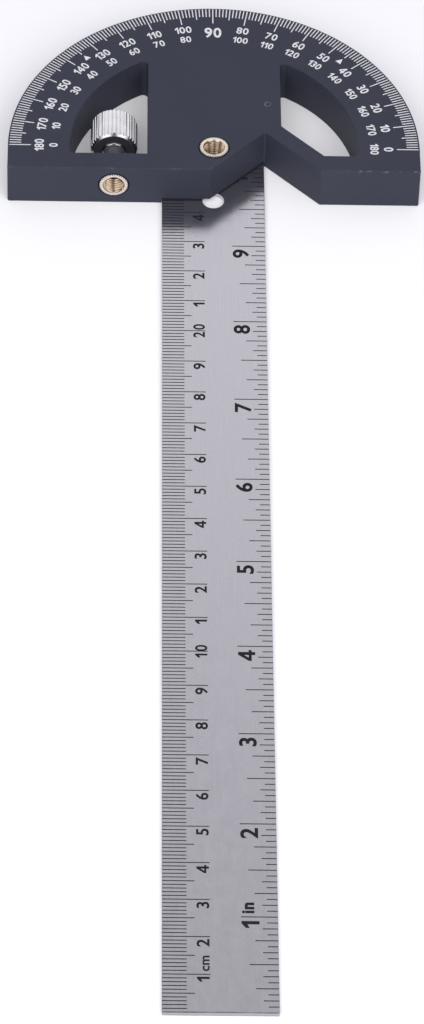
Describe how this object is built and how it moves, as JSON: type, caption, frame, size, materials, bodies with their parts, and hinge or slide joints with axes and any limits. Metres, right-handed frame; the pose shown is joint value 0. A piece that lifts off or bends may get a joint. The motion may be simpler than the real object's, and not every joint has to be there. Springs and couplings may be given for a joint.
{
  "type": "protractor square",
  "caption": "Half-round protractor head with a right-angled centre notch on a sliding steel rule, brass threaded inserts and a knurled thumbscrew, for laying out angles and depths.",
  "frame": {"origin": "the protractor's centre on the graduated face, at the mouth of the centre insert", "axes": "+Z out of the graduated face, +Y towards the 90 degree mark and away from the rule's zero end, +X to the right as seen from the zero end"},
  "size_m": [0.1, 0.3021, 0.0116],
  "materials": {
    "head_plastic": "satin black moulding",
    "rule_steel": "satin stainless steel",
    "insert_brass": "turned brass",
    "stud_steel": "black oxide",
    "knob_nickel": "bright plated, straight knurl"
  },
  "bodies": {
    "head": {"protractor_head": "head_plastic", "pivot_insert": "insert_brass", "edge_insert": "insert_brass"},
    "rule": {"rule_blade": "rule_steel"},
    "screw_stud": {"thumbscrew_stud": "stud_steel"},
    "screw_knob": {"thumbscrew_knob": "knob_nickel"}
  },
  "joints": [
    {"name": "rule_slide", "type": "slide", "parent": "head", "child": "rule", "axis": [0, 1, 0], "range_m": [-0.035, 0.234]},
    {"name": "thumbscrew_travel", "type": "slide", "parent": "head", "child": "screw_stud", "axis": [0, 1, 0], "range_m": [-0.0056, 0.0008]},
    {"name": "thumbscrew_turn", "type": "hinge", "parent": "screw_stud", "child": "screw_knob", "pos_m": [-0.02425, 0.00885, -0.0058], "axis": [0, 1, 0], "range_deg": [-2520, 360]}
  ],
  "couplings": [
    {"joint": "thumbscrew_turn", "follows": "thumbscrew_travel", "rad_per_m": 7854}
  ]
}
